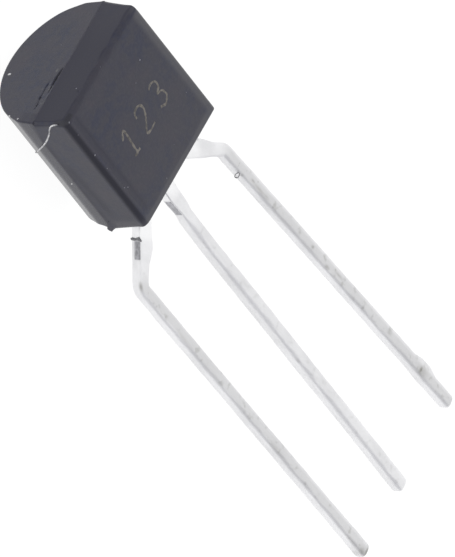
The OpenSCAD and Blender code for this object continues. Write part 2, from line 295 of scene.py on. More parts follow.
def lead_corners(name, root_x, splay, head_top):
    """Corners of a lead's middle line, from the top of its head to its tip."""
    to_package, pin = package.inverted(), mounts[name + "_pin"]
    tip = to_package @ Vector(pin["pos_m"]) / MM
    axis = to_package.to_3x3() @ Vector(pin["axis"])
    shoulder, end = np.array([root_x, -SPLAY_DROP]), np.array([tip.x, tip.z])
    if not splay:
        return [(root_x, head_top), shoulder, end]
    away = np.array([sin(radians(splay)), -cos(radians(splay))])
    reach = np.linalg.solve(np.stack([away, (axis.x, axis.z)], 1), end - shoulder)[0]
    return [(root_x, head_top), shoulder, shoulder + away * reach, end]


def tinned_section(at, to_tip, left, right, run, seed):
    """The ring of a lead at a distance down it, without the waves of the dip."""
    near_tip = 1 - min(to_tip, TIP_R) / TIP_R
    shrink = TIP_SHARE + (1 - TIP_SHARE) * sqrt(1 - near_tip ** 2)
    rolled = smooth(at, DAM_END, DAM_END + ROLL_RUN)
    front_r = FRONT_R * (1 + FRONT_R_VARIES * wander(at, 0.45, seed + 5))
    radii = (EDGE_R + (front_r - EDGE_R) * rolled, RIGHT_R, EDGE_R, EDGE_R)
    ring = section(left * shrink, right * shrink, radii, CROWN * rolled)
    ring[:, 1] *= shrink
    ring[:, 1] += run * (ring[:, 1] > 0) * band(at, *BACK_RUN)
    return ring


def torn_share(x, y, at, left, tear):
    """How far a place lies on the dam bar's tear."""
    start, stop, back, front = tear[:4]
    on_edge = (x < 0) * smooth(-np.abs(x + left), -0.04, -0.02)
    along = band(at, (start, start + 0.03), (stop - 0.03, stop))
    return on_edge * along * smooth(back - y, 0, 0.05) * smooth(y - front, 0, 0.03)


def tube_faces(rings, sides):
    """The faces of a closed tube whose points are rings of so many sides."""
    faces = []
    for a in range(0, (rings - 1) * sides, sides):
        for k in range(sides):
            n = (k + 1) % sides
            faces.append((a + k, a + sides + k, a + sides + n, a + n))
    return faces + [tuple(range(sides)), tuple(reversed(range((rings - 1) * sides, rings * sides)))]


def lead(name, root_x, splay, head, edges, dullness, stains, seed, tear=NO_TEAR, run=0):
    """One lead, bent out by splay degrees, and a function for places on it. head is the top, bottom,
    left and right of its pad or post, edges are (distance, left, right) outside the body, stains
    are (distance, across, length, width, strength), tear is the (start, end, back, front,
    strength) of the sheared dam bar and run is how thick the tin ran down its back."""
    top, bottom, *head_sides = head
    steps = [e + d for e in (-bottom, DAM_START, DAM_END) for d in (-HEAD_STEP, HEAD_STEP)]
    s, centre, ahead = bent_path(lead_corners(name, root_x, splay, top), steps + [e[0] for e in edges])
    widths = [(-top, *head_sides), (-bottom - HEAD_STEP, *head_sides),
              (-bottom + HEAD_STEP, ROOT_W / 2, ROOT_W / 2)] + edges
    left, right = (np.interp(s, [w[0] for w in widths], [w[k] for w in widths]) for k in (1, 2))
    side = np.stack([-ahead[:, 1], ahead[:, 0]], 1)
    points, masks = [], []
    for i, at in enumerate(s):
        ring = tinned_section(at, s[-1] - at, left[i], right[i], run, seed)
        x, y = ring.T.copy()
        ring[:, 0] += EDGE_WAVE[0] * np.sign(x) * wander(at + 40 * (x > 0), EDGE_WAVE[1], seed)
        ring[:, 1] += FACE_WAVE[0] * wander(at, FACE_WAVE[1], seed + 1)
        ring[:, 1] += RIPPLE[0] * wander(at + np.arange(len(x)) * 3.1, RIPPLE[1], seed + 2)
        torn_here = torn_share(x, y, at, left[i], tear)
        ring[:, 0] += torn_here * (0.012 + 0.01 * wander(at + 9 * y, 0.05, seed + 3))
        faced = smooth(-y, 0.06, 0.15)
        stained = np.zeros(len(x))
        for place, across, length, width, depth in stains:
            off = ((at - place) / length) ** 2 + ((x - across) / width) ** 2
            stained = np.maximum(stained, depth * np.exp(-off))
        dull = smooth(x, -0.2, -0.1) * (1 - 0.65 * smooth(x, 0.06, 0.19)) * smooth(at, 2.0, 2.8)
        stained *= np.maximum(faced, 0.7 * smooth(at, 14.3, 14.7))
        bright = np.full(len(x), 1 - smooth(at, DAM_START - 0.1, DAM_START + 0.2))
        masks.append(np.stack([dullness * dull * faced, tear[-1] * torn_here, stained, bright], 1))
        xz = centre[i] + ring[:, :1] * side[i]
        points.append(np.stack([xz[:, 0], ring[:, 1], xz[:, 1]], 1))
    made = build(name + "_lead_tinned", np.concatenate(points), tube_faces(len(points), len(points[0])),
                 tin, attributes=list(zip(LEAD_MASKS, np.concatenate(masks).T)))
    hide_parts(name + "_lead")

    def place_on(distance, across, y):
        """A place on or near this lead in the package's axes."""
        x, z, side_x, side_z = (np.interp(distance, s, v) for v in (*centre.T, *side.T))
        return x + across * side_x, y, z + across * side_z

    return place_on


tin, torn = tin_plating(), torn_metal()
on_collector = lead(
    "collector", -ROOT_PITCH, -49.5, head=(3.35, 1.85, 0.45, 1.65),
    edges=[
        (0.9, 0.27, 0.25), (1.22, 0.27, 0.28), (1.27, 0.26, 0.31), (1.55, 0.245, 0.33),
        (1.86, 0.235, 0.25), (2, 0.233, 0.19), (4.5, 0.23, 0.188), (6, 0.21, 0.188),
        (8, 0.205, 0.195), (10, 0.198, 0.208), (12, 0.193, 0.22), (14.8, 0.193, 0.245)],
    dullness=0.78,
    stains=[
        (14.8, -0.12, 0.16, 0.12, 0.45), (14.98, -0.02, 0.07, 0.16, 0.75), (14.3, -0.16, 0.4, 0.05, 0.25),
        (2.6, -0.2, 0.09, 0.05, 0.6), (4.8, -0.1, 0.3, 0.05, 0.15), (9.9, -0.12, 0.35, 0.08, 0.2)],
    seed=11, tear=(1.3, 1.88, 0.08, -0.17, 1))
lead(
    "base", MIDDLE_OFFSET, 0, head=(1.55, 0.95, 0.5, 0.5),
    edges=[
        (0.9, 0.27, 0.24), (1.2, 0.285, 0.225), (1.5, 0.27, 0.2), (1.84, 0.25, 0.17), (1.98, 0.262, 0.13),
        (3, 0.28, 0.13), (4.5, 0.27, 0.14), (5.5, 0.26, 0.17), (7, 0.23, 0.185), (9, 0.215, 0.205),
        (11, 0.2, 0.24), (13, 0.19, 0.265), (14.4, 0.19, 0.275)],
    dullness=0.3,
    stains=[(5.2, -0.02, 0.3, 0.08, 0.12), (8.4, -0.19, 0.1, 0.04, 0.3)],
    seed=23, tear=(1.22, 1.88, 0.15, -0.15, 0.8), run=0.06)
on_emitter = lead(
    "emitter", ROOT_PITCH, 39.5, head=(2.85, 2.25, 0.59, 0.25),
    edges=[
        (0.9, 0.26, 0.25), (1.2, 0.24, 0.29), (1.26, 0.235, 0.35), (1.55, 0.22, 0.31),
        (1.9, 0.19, 0.235), (2.2, 0.19, 0.228), (12.6, 0.19, 0.235),
        (12.98, 0.2, 0.325), (13.4, 0.22, 0.32), (13.75, 0.205, 0.225), (14.4, 0.2, 0.215)],
    dullness=0.82,
    stains=[
        (3.42, -0.17, 0.05, 0.05, 0.4), (3.87, -0.03, 0.08, 0.035, 0.45), (4.25, -0.06, 0.3, 0.05, 0.33),
        (4.6, -0.05, 0.16, 0.05, 0.25), (13.07, -0.03, 0.06, 0.1, 0.85), (13.15, -0.03, 0.22, 0.14, 0.3),
        (6.4, 0, 0.05, 0.05, 0.3), (7.1, -0.02, 0.05, 0.05, 0.35), (7.95, -0.1, 0.08, 0.05, 0.45),
        (8.5, 0.02, 0.2, 0.04, 0.3), (11.3, 0, 0.1, 0.05, 0.3)],
    seed=37)


def strand(path, width, height, up, sides=8):
    """Points and faces of a closed strand of elliptical section along a path."""
    path = np.array(path, float)
    width, height = (np.broadcast_to(v, len(path)) for v in (width, height))
    ahead = unit(np.gradient(path, axis=0))
    side = unit(np.cross(ahead, np.broadcast_to(np.array(up, float), path.shape)))
    up = np.cross(side, ahead)
    turn = np.arange(sides) * 2 * pi / sides
    rings = (path[:, None] + side[:, None] * (width[:, None] * np.cos(turn))[..., None]
             + up[:, None] * (height[:, None] * np.sin(turn))[..., None])
    return rings.reshape(-1, 3), tube_faces(len(path), sides)


def metal_scrap(name, path, width, height, up):
    """A strand of bare metal that stands off a lead."""
    made = build(name, *strand(path, width, height, up), torn)


# The lip that the dam punch pushed up across the collector lead's edge.
LIP_AT, LIP_OUT, LIP_H = 1.285, 0.26, 0.03  # down the lead, out from its middle, thickness
LIP_SPAN = (-0.19, 0.16)
LIP_WIDTHS = (0.08, 0.11, 0.095, 0.055, 0.04, 0.04, 0.05, 0.055, 0.05)
lip = [on_collector(LIP_AT - 0.07 * y + 0.01 * sin(19 * y), -LIP_OUT - 0.05 * max(y, 0), y)
       for y in np.linspace(*LIP_SPAN, len(LIP_WIDTHS))]
metal_scrap("dam_burr", lip, LIP_WIDTHS, LIP_H, (-1, 0, 0))

# A curl of tin scraped loose on the emitter lead's side, as distances down it and depths on it.
SLIVER_R, SLIVER_OUT = 0.011, 0.2
SLIVER = [
    (3.24, -0.18), (3.29, -0.06), (3.36, 0.06), (3.46, 0.15), (3.52, 0.13), (3.49, 0.04), (3.42, -0.05),
    (3.33, -0.14), (3.27, -0.19)]
curl = [on_emitter(distance, -SLIVER_OUT, y) for distance, y in SLIVER]
metal_scrap("scraped_sliver", curl, SLIVER_R, SLIVER_R, (1, 0, 0))


# --------------------------------------------------
# Moulded body
# Epoxy filled with silica, moulded round the lead frame in a steel mould whose two halves
# meet at the leads' plane. The front half is drafted towards the flat, the round back stands
# a hair proud of it, and the gate left a scar where it was broken off the top.

BODY_W, BACK_DEPTH = 4.6, 2.14
HALF_W, MID_H = BODY_W / 2, BODY_H / 2
SIDE_DRAFT, END_DRAFT = tan(radians(4)), tan(radians(2.5))
LOW_END = 0.55  # share of the end's draft that the lead end has
PARTING_STEP, END_STEP = 0.03, 0.005  # how far the front half stands in, at sides and ends
MOULD_SHIFT = (-0.02, 0.048)  # how far its left and right sides lie off
LOW_SHIFT = 0.02  # how far its lead end lies off
PARTING_SAG = 0.13  # how far the parting line dips towards the flat along the top
SIDE_EDGE_R, TOP_EDGE_R, FLAT_EDGE_R, CORNER_R, RIM_R = 0.2, 0.17, 0.06, 0.12, 0.05
TOP_WOBBLE = 0.05  # how much the top edge's rounding varies along it
EDGE_ZONE, FLAT_ZONE = (0, 0.3), (0.15, 0.45)  # where the flat's edges take over
MID_EDGE = 0.29  # 1 - cos 45 degrees, which marks the middle of a rounded edge
FALL, FALL_REACH, FALL_POWER = 0.018, 0.25, 1.3  # at the flat's plainer edges
BACK_R = (BACK_DEPTH ** 2 + HALF_W ** 2) / (2 * BACK_DEPTH)
BACK_CY = BACK_DEPTH - BACK_R
BACK_START = asin(-BACK_CY / BACK_R)  # its angle from the side where it starts
# The flats beside the round back: angle from the side and reach, at their edges.
BACK_FLATS = [(BACK_START, BACK_R - 0.02), (radians(17.6), BACK_R + 0.009),
              (radians(33.8), BACK_R + 0.015)]
FLATS_END = radians(70)  # where the round back is a plain arc again
CREASE, CREASE_SAMPLES = radians(1.6), 5  # how far their edges are rounded
SEAM_EASE, SEAM_DRAWN_IN = 0.15, 0.012  # width and depth, on the left
CHIPPED = 0.1  # how far the rim is worn beside the flash
EJECTOR_R, EJECTOR_WALL, EJECTOR_DEPTH = 0.75, 0.015, 0.2
EJECTOR_REACH = 1.15  # how far the grid bends to the mark

# Painted shade, painted highlight and chalky broken bits, laid on the skin, each over the ones before it.
SKIN_COLOURS = {"drawn": (0.001, 0.001, 0.02, 1), "painted_highlight": (0.1, 0.099, 0.106, 1),
                "painted_edge_shade": (0.019, 0.019, 0.03, 1), "chalky": (0.085, 0.085, 0.094, 1)}

# Cracks of the gate's scar on the top face: across, towards the back, half width and depth.
CRACKS = [
    [(-0.25, -0.075, 0.02, 0.025), (-0.42, -0.05, 0.044, 0.04), (-0.58, -0.035, 0.054, 0.05),
     (-0.78, -0.035, 0.044, 0.045), (-0.95, -0.045, 0.03, 0.03), (-1.15, -0.06, 0.015, 0.015)],
    [(-0.79, 0.13, 0.008, 0.01), (-0.87, 0.145, 0.026, 0.035), (-0.94, 0.155, 0.01, 0.015),
     (-1.08, 0.14, 0.022, 0.02), (-1.17, 0.135, 0.008, 0.01), (-1.27, 0.14, 0.02, 0.03),
     (-1.34, 0.145, 0.036, 0.05), (-1.41, 0.13, 0.008, 0.01), (-1.52, 0.1, 0.014, 0.015),
     (-1.62, 0.095, 0.03, 0.03), (-1.7, 0.1, 0.01, 0.01), (-1.78, 0.105, 0.018, 0.015)]]
# Chalky bits broken out beside them and along the parting line: across, back, radius and strength.
CHALKY = [
    (-0.32, 0.1, 0.06, 1), (-0.46, 0.02, 0.03, 0.4), (-0.62, 0.05, 0.03, 0.4),
    (-0.8, 0.055, 0.04, 0.5), (-0.92, 0.03, 0.05, 0.6), (-1.02, -0.01, 0.04, 0.6),
    (-1.02, 0.235, 0.045, 0.6), (-1.22, 0.06, 0.04, 0.4), (-1.4, 0.05, 0.03, 0.4),
    (-1.54, -0.02, 0.045, 0.7), (0.13, -0.1, 0.035, 0.4), (0.31, -0.1, 0.03, 0.4),
    (0.5, -0.11, 0.04, 0.5), (0.67, -0.11, 0.03, 0.4)]
CHALKY_LENGTH = 1.4


def moulding_compound():
    """Blue-black filled epoxy: a fine matt mould skin, glossier on the front half, with painted shade on
    its eased edges and painted highlight on the flat's rims.
    """
    blue, plum, grey = (0.01, 0.014, 0.043, 1), (0.029, 0.025, 0.042, 1), (0.023, 0.023, 0.041, 1)
    silica, broken = (0.06, 0.06, 0.075, 1), (0.016, 0.016, 0.02, 1)
    made, tree, shader = surface("moulding_compound", IOR=1.5)
    fine, blotch = grained(tree, 26, 1.1)
    mottle, speckle = grained(tree, 4.5, 11)
    skin = blended(tree, window(tree, blotch, 0.32, 0.68), blue, plum)
    skin = blended(tree, window(tree, mottle, 0.35, 0.65), skin, grey)
    skin = blended(tree, product(tree, window(tree, speckle, 0.42, 0.66), 0.15), skin, silica)
    # Painted shade, painted highlight and chalky bits over the plain skin.
    for name, colour in SKIN_COLOURS.items():
        skin = blended(tree, painted(tree, name), skin, colour)
    torn_open = painted(tree, "torn")
    tree.links.new(blended(tree, torn_open, skin, broken), shader["Base Color"])
    gloss = between(tree, painted(tree, "front"), between(tree, fine, 0.18, 0.28),
                    between(tree, fine, 0.28, 0.38))
    tree.links.new(between(tree, torn_open, gloss, 0.9), shader["Roughness"])
    bumped(tree, shader, fine, 0.003)
    return made


def fade(value, low, high):
    """1 below low, 0 above high, and a soft step between."""
    return 1 - smooth(value, low, high)


def graded(start, *runs):
    """Stations from a start through runs of (end, spacing)."""
    out = [start]
    for end, spacing in runs:
        out += list(np.linspace(out[-1], end, max(1, round((end - out[-1]) / spacing)) + 1)[1:])
    return np.array(out)


def rounded(gaps, radii):
    """New gaps from the faces of a block with rounded edges, and how far each point is in one."""
    q = np.stack([np.maximum(1 - gap / r, 0) for gap, r in zip(gaps, radii)])
    size = np.maximum(np.linalg.norm(q, axis=0), 1e-9)
    new = [np.where(share > 0, r * (1 - share / size), gap) for gap, r, share in zip(gaps, radii, q)]
    return new, np.clip((1 - q.max(0) / size) / MID_EDGE, 0, 1)


def front_side(y):
    """How far the front half's side lies from the middle at a depth."""
    return HALF_W - PARTING_STEP + y * SIDE_DRAFT


def end_inset(y):
    """How far the front half's top face lies inside the body's full height at a depth."""
    return END_STEP - y * END_DRAFT - y / FRONT_DEPTH * (PARTING_STEP - END_STEP)


def eased_front(x, y, z):
    """The front half with its edges rounded: sharp points in, rounded points and easing out."""
    side, is_top = front_side(y), z > MID_H
    end = end_inset(y) * np.where(is_top, 1, LOW_END)
    across, along = side - np.abs(x), np.minimum(z - end, BODY_H - end - z)
    near_flat = fade(y + FRONT_DEPTH, *FLAT_ZONE)
    by_side, by_end = fade(across, *EDGE_ZONE), fade(along, *EDGE_ZONE)
    side_r = np.where(x < 0, SIDE_EDGE_R, FLAT_EDGE_R)
    end_r = np.where(is_top, TOP_EDGE_R + TOP_WOBBLE * wander(x, 0.35, 113), FLAT_EDGE_R)
    flat_r = (side_r * by_side + end_r * by_end + 1e-6) / (by_side + by_end + 1e-5)
    fall = FALL * near_flat * np.hypot(
        np.where(x > 0, np.clip(1 - across / FALL_REACH, 0, 1) ** FALL_POWER, 0),
        np.where(is_top, 0, np.clip(1 - along / FALL_REACH, 0, 1) ** FALL_POWER))
    (across, depth, along), easing = rounded(
        (across, y + FRONT_DEPTH, along),
        (CORNER_R + (side_r - CORNER_R) * near_flat, flat_r, CORNER_R + (end_r - CORNER_R) * near_flat))
    left, right = MOULD_SHIFT
    shift = left + (right - left) * smooth(x, -1, 1)
    return (np.sign(x) * (side - across) + shift, depth - FRONT_DEPTH + fall,
            np.where(is_top, BODY_H - end - along, end + along), easing)


def eased_back(x, y, z):
    """The round back with its two rims rounded: sharp points in, rounded points and easing out."""
    rho = np.hypot(x, y - BACK_CY)
    (inward, along), easing = rounded((BACK_R - rho, MID_H - np.abs(z - MID_H)), (RIM_R, RIM_R))
    share = (BACK_R - inward) / np.maximum(rho, 1e-9)
    return (x * share, BACK_CY + (y - BACK_CY) * share,
            MID_H + np.sign(z - MID_H) * (MID_H - along), easing)


def back_arc(angle):
    """Places on the round back at angles from its right side."""
    return np.stack([BACK_R * np.cos(angle), BACK_CY + BACK_R * np.sin(angle)], -1)


def back_reach(angle):
    """How far the back reaches at an angle from its side: two flats, then the round. The mean of
    a few places to either side rounds the creases between them."""
    reach = np.zeros(angle.shape)
    crease = CREASE * (1 + 2 * smooth(angle, BACK_FLATS[1][0], BACK_FLATS[2][0]))
    for share in np.linspace(-1, 1, CREASE_SAMPLES):
        at = angle + share * crease
        part = BACK_R + (BACK_FLATS[-1][1] - BACK_R) * fade(at, BACK_FLATS[-1][0], FLATS_END)
        for (a0, r0), (a1, r1) in zip(BACK_FLATS, BACK_FLATS[1:]):
            spread = r0 * np.sin(at - a0) + r1 * np.sin(a1 - at) + 1e-12
            part = np.where((at >= a0) & (at <= a1), r0 * r1 * sin(a1 - a0) / spread, part)
        reach += part / CREASE_SAMPLES
    return reach


def sharp_block():
    """A grid of points that fills the block, with sharp edges, and which of them are the front's.
    Its rows follow the flat, the parting line and the round back, and crowd where edges lie."""
    mark = np.outer((-1, 1), (EJECTOR_R - EJECTOR_WALL, EJECTOR_R)).ravel()
    quarter = pi / 4
    u = graded(-1, (-0.9, 0.008), (-0.8, 0.025), (-0.08, 0.012), (0.9, 0.035), (1, 0.008))
    u = np.unique(np.r_[u, np.arcsin(mark / BACK_R) / quarter])
    front = graded(-FRONT_DEPTH, (-1.06, 0.018), (-0.1, 0.096), (0, 0.01))
    back = graded(0, (0.17, 0.0045), (0.93, 0.04), (1, 0.01))
    w = graded(0, (0.05, 0.0045), (0.95, 0.018), (1, 0.0045))
    w = np.unique(np.r_[w, 0.5 + mark / BODY_H])

    x, y = np.outer(u, front_side(front)), np.broadcast_to(front, (len(u), len(front)))
    parting, crown = np.stack([u * HALF_W, 0 * u], -1), back_arc(pi / 2 - u * quarter)
    s = ((u + 1) / 2)[:, None]
    for t in back:
        right = back_arc(BACK_START + t * (quarter - BACK_START))
        p = ((1 - t) * parting + t * crown + (1 - s) * right * (-1, 1) + s * right
             - (1 - t) * ((1 - s) * parting[0] + s * parting[-1])
             - t * ((1 - s) * crown[0] + s * crown[-1]))
        x, y = np.c_[x, p[:, 0]], np.c_[y, p[:, 1]]

    is_front = np.arange(x.shape[1]) < len(front)
    inset = np.where(is_front, end_inset(y), 0)[..., None]
    z = LOW_END * inset + w * (BODY_H - (1 + LOW_END) * inset)
    x, y = (np.broadcast_to(a[..., None], z.shape) for a in (x, y))
    return x, y, z, np.broadcast_to(is_front[None, :, None], z.shape)


def flattened_back(x, y, z, is_front):
    """The round back with a flat on each side, its rim chipped and its left seam pulled in."""
    rho, angle = np.hypot(x, y - BACK_CY), np.arctan2(y - BACK_CY, np.abs(x))
    chipped = band(angle, np.radians((5, 16)), np.radians((19, 36))) * smooth(rho / BACK_R, 0.8, 1.0)
    z = z + CHIPPED * chipped * (x < 0) * ~is_front * fade(z, 0, 0.4)
    stretch = 1 + (back_reach(angle) / BACK_R - 1) * np.minimum(rho / BACK_R, 1) ** 4 * ~is_front
    x, y = x * stretch, BACK_CY + (y - BACK_CY) * stretch
    on_side = smooth(-x, HALF_W - 0.3, HALF_W - 0.1)
    x = x + SEAM_DRAWN_IN * np.clip(1 - y / SEAM_EASE, 0, 1) ** 2 * ~is_front * on_side
    return x, y, z


def press_ejector_mark(x, y, z):
    """Presses the ejector pin's mark into the round back. The grid's squares turn to circles there."""
    crown = (slice(None), -1, slice(None))
    a, b = x[crown].copy(), z[crown] - MID_H
    reach = np.maximum(np.abs(a), np.abs(b))
    share = reach / np.maximum(np.hypot(a, b), 1e-9)
    share += (1 - share) * smooth(reach, EJECTOR_R, EJECTOR_REACH)
    x[crown], z[crown] = a * share, MID_H + b * share
    arc_y = BACK_CY + np.sqrt(BACK_R ** 2 - np.minimum(np.abs(x[crown]), BACK_R) ** 2)
    skin_y = np.where(reach < EJECTOR_REACH, arc_y, y[crown])
    is_floor = reach < EJECTOR_R - EJECTOR_WALL / 2
    y[crown] = np.where(is_floor, BACK_DEPTH - EJECTOR_DEPTH, skin_y)


def crack_depth(x, y):
    """How deep the gate's cracks are at a place on the top face."""
    deepest = np.zeros(x.shape)
    ragged = 1 + 0.3 * wander(x, 0.07, 61)
    for crack in CRACKS:
        for (x0, y0, w0, d0), (x1, y1, w1, d1) in zip(crack, crack[1:]):
            run = np.array((x1 - x0, y1 - y0))
            t = np.clip(((x - x0) * run[0] + (y - y0) * run[1]) / (run @ run), 0, 1)
            away = np.hypot(x - x0 - t * run[0], y - y0 - t * run[1])
            width = (w0 + (w1 - w0) * t) * ragged
            deepest = np.maximum(deepest, (d0 + (d1 - d0) * t) * fade(away / width, 0.45, 1.1))
    return deepest


def break_gate(x, y, z, is_front):
    """Breaks the gate off the top face, and says how torn and chalky that left each point."""
    lid = (slice(None), slice(None), -1)
    x, y = x[lid], y[lid]
    depth = crack_depth(x, y)
    patch = band(x, (-1.75, -1.6), (-0.75, -0.5)) * band(y, (-0.12, -0.07), (0.12, 0.2))
    rough = wander(x * 1.7 + y * 5.3, 0.06, 71) * wander(y * 3.1 - x, 0.05, 73)
    z[lid] -= depth + patch * (0.006 + 0.008 * rough)
    # Bits of flash along the top of the parting line, on the back's edge.
    lip = fade(np.abs(y + PARTING_SAG), 0.012, 0.04) * ~is_front[lid]
    z[lid] -= lip * 0.005 * (1 + wander(x, 0.09, 83))
    torn_open, chalky = np.zeros((2, *z.shape))
    torn_open[lid] = 0.8 * smooth(depth, 0.0, 0.05)
    for cx, cy, r, strength in CHALKY:
        away = np.hypot((x - cx) / CHALKY_LENGTH, y - cy)
        chalky[lid] = np.maximum(chalky[lid], strength * fade(away, 0.3 * r, r))
    return torn_open, chalky


def painted_highlight_share(x, y, z, eased, is_front, on_flat, on_left):
    """How far the flat's rims, the front half's top edge and its side's low rim are painted lighter as
    painted highlight, before its parting line dips.
    """
    from_right = front_side(y) + MOULD_SHIFT[1] - x
    from_low_end = z - LOW_END * end_inset(y) + 0.03 * wander(x, 0.5, 99)
    right_rim = np.maximum(0.5 * fade(from_right, 0.25, 0.34), fade(from_right, 0.0, 0.25))
    low_rim = 0.5 * fade(from_low_end, 0.17, 0.29)
    low_right = 0.13 * smooth(0.45 * x - z, -4.6, -0.3)
    side_low_rim = 0.42 * is_front * on_left * fade(z, 0.24, 0.46) * fade(y, -0.3, -0.15)
    top_grey = 0.11 + 0.03 * wander(x, 0.3, 115) + 0.2 * smooth(x, 1.8, 2.1)
    top_edge = is_front * smooth(z, 4.4, 4.5) * smooth(eased, 0, 0.6) * top_grey
    return np.maximum.reduce([on_flat * right_rim, on_flat * low_rim, on_flat * low_right,
                              side_low_rim, top_edge])


def painted_edge_shade_share(x, y, z, eased, is_front):
    """How far the flat's left edge is darkened with painted shade, and a little of its top one."""
    top_too = 0.1 * (z > BODY_H - 0.5) * fade(x, -0.5, 1.5)
    from_low_end = 0.65 * smooth(z, 0.12, 0.32) + 0.35 * smooth(z, 0.3, 0.85)
    return (smooth(eased, 0.0, 0.35) * is_front * np.where(x < -HALF_W + 0.5, 1, top_too)
            * fade(y, -0.95, -0.75) * from_low_end)


def drawn_share(x, y, z, eased, is_front, on_flat, on_left):
    """How far the skin is painted darker and bluer as painted shade: on the front half's top face and the
    flat's top border, by the left seam and behind it, in a streak down the side and in a band near the
    flat's left edge.
    """
    top_face = (is_front * smooth(z - (BODY_H - 0.25), 0, 0.15) * fade(eased, 0, 0.5)
                * smooth(y, -1.22, -1.12) * (1 - 0.35 * smooth(x, 0.3, 2.2)))
    top_border = 0.25 * is_front * fade(y, -1.25, -1.16) * band(z, (4.34, 4.45), (4.53, 4.6))
    seam = on_left * band(y, (-0.14, -0.05), (0.06, 0.2)) * (0.65 + 0.3 * wander(z, 0.2, 95))
    behind_seam = (0.6 + 0.3 * wander(z, 0.7, 97)) * ~is_front * on_left * band(
        y, (0.06, 0.2), (0.3, 0.52))
    streak = is_front * on_left * np.exp(-((y + 0.43 - 0.1 * z) / 0.14) ** 2) * band(
        z, (0.3, 1.0), (2.5, 3.3))
    line = np.exp(-((x + 1.78 + 0.012 * wander(z, 0.4, 101)) / 0.04) ** 2)
    left_band = on_flat * smooth(z, 0.3, 0.6) * (
        0.32 * band(x, (-1.98, -1.92), (-1.72, -1.62)) + 0.4 * line)
    return np.maximum.reduce([top_face, top_border, seam, behind_seam, streak, left_band])


def grid_skin(shape):
    """Which points of a grid lie on its outside, and the faces between them."""
    used = np.zeros(shape, bool)
    for axis in range(3):
        used[tuple([0, shape[axis] - 1] if a == axis else slice(None) for a in range(3))] = True
    index = np.full(shape, -1)
    index[used] = np.arange(used.sum())
    faces = []
    for axis in range(3):
        for end in (0, -1):
            sheet = np.take(index, end, axis=axis)
            corners = (sheet[:-1, :-1], sheet[1:, :-1], sheet[1:, 1:], sheet[:-1, 1:])
            quads = np.stack(corners, -1).reshape(-1, 4)
            faces += (quads[:, ::-1] if (axis == 1) == (end == -1) else quads).tolist()
    return used, faces


def moulded_body():
    """The whole moulding as one closed skin, with masks for how its places look."""
    x, y, z, is_front = sharp_block()
    halves = zip(eased_front(x, y, z), eased_back(x, y, z))
    x, y, z, eased = (np.where(is_front, front, back) for front, back in halves)
    x, y, z = flattened_back(x, y, z, is_front)
    on_left = x < -HALF_W + 0.4
    on_flat = (y < -FRONT_DEPTH + 0.2) * is_front * fade(z, 4.35, 4.5)
    # Painted highlight on the flat's rims and the front half's edges.
    painted_highlight = painted_highlight_share(x, y, z, eased, is_front, on_flat, on_left)
    by_parting = 1 - np.minimum(np.abs(y) / 0.6, 1)
    y = y - PARTING_SAG * by_parting ** 2 * smooth(z, BODY_H - 1.0, BODY_H - 0.1)
    z = z - LOW_SHIFT * is_front * fade(z, 0, 0.5)
    press_ejector_mark(x, y, z)
    torn_open, chalky = break_gate(x, y, z, is_front)
    # Masks of painted shade, of painted highlight, and of the gate's torn and chalky marks.
    masks = {"painted_edge_shade": painted_edge_shade_share(x, y, z, eased, is_front),
             "drawn": drawn_share(x, y, z, eased, is_front, on_flat, on_left),
             "torn": torn_open, "chalky": chalky, "painted_highlight": painted_highlight,
             "front": np.maximum(is_front, on_left * fade(y, 0.0, 0.22))}
    used, faces = grid_skin(x.shape)
    made = build("moulded_body_skin", np.stack([x[used], y[used], z[used]], 1), faces, compound,
                 sharp=35, attributes=[(name, mask[used]) for name, mask in masks.items()])
    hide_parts("moulded_body")


# Outline of the scale of flash: towards the back, up the body, and how far it stands out.
FLASH_OUTLINE = [
    (0.066, -0.05, 0.02), (0.135, 0, 0.022), (0.165, 0.065, 0.024), (0.062, 0.235, 0.016),
    (-0.045, 0.36, 0.004), (-0.1, 0.3, -0.04), (-0.16, 0.2, -0.045), (-0.17, 0.1, -0.045),
    (-0.155, 0.066, -0.04), (-0.03, 0.02, 0)]
FLASH_ROOT, FLASH_RISE = 0.1, 0.01  # how deep it goes into the side, and how much higher it is there
# Share of painted highlight on the flash, to match the side.
FLASH_HIGHLIGHT = 0.35


def parting_flash():
    """The scale that leaked between the mould halves at one lower corner, flush with the side."""
    n = len(FLASH_OUTLINE)
    points = [(-HALF_W - out, y, z) for y, z, out in FLASH_OUTLINE]
    points += [(-HALF_W + FLASH_ROOT, y, z + FLASH_RISE) for y, z, out in FLASH_OUTLINE]
    faces = [(k, (k + 1) % n, n + (k + 1) % n, n + k) for k in range(n)]
    faces += [tuple(reversed(range(n))), tuple(range(n, 2 * n))]
    # The flash carries painted highlight, as the front half's rims do.
    made = build("parting_flash", points, faces, compound, sharp=20,
                 attributes=[("front", [1.0] * 2 * n), ("painted_highlight", [FLASH_HIGHLIGHT] * 2 * n)])


compound = moulding_compound()
moulded_body()
parting_flash()


# --------------------------------------------------
# Pin numbers, lint and dust
# Small numbers burnt into the flat by a laser, one over each lead, which leaves the epoxy
# rough and tan. Bits of pale lint and one curled fibre cling to the body.

NUMERAL_H, NUMERAL_Z, STROKE_R, STROKE_H = 0.86, 1.75, 0.036, 0.006
NUMERAL_PITCH, NUMERAL_SHIFT = 0.72 * ROOT_PITCH, 0.05
STROKE_STEP, STROKE_SHAKE, STROKE_VARIES = 0.03, 0.008, 0.3  # stations, and how unsteady it is
# Strokes of each numeral, as shares of its height from the middle of its foot.
NUMERALS = {
    1: [[(-0.16, 0.78), (0.04, 1), (0.04, 0)], [(-0.14, 0), (0.2, 0)]],
    2: [[(-0.24, 0.76), (-0.18, 0.94), (0, 1), (0.19, 0.93), (0.24, 0.74), (0.12, 0.5),
         (-0.24, 0.03), (0.26, 0)]],
    3: [[(-0.22, 0.92), (0, 1), (0.2, 0.88), (0.17, 0.64), (-0.02, 0.54), (0.22, 0.42),
         (0.24, 0.16), (0.02, 0), (-0.24, 0.1)]]}

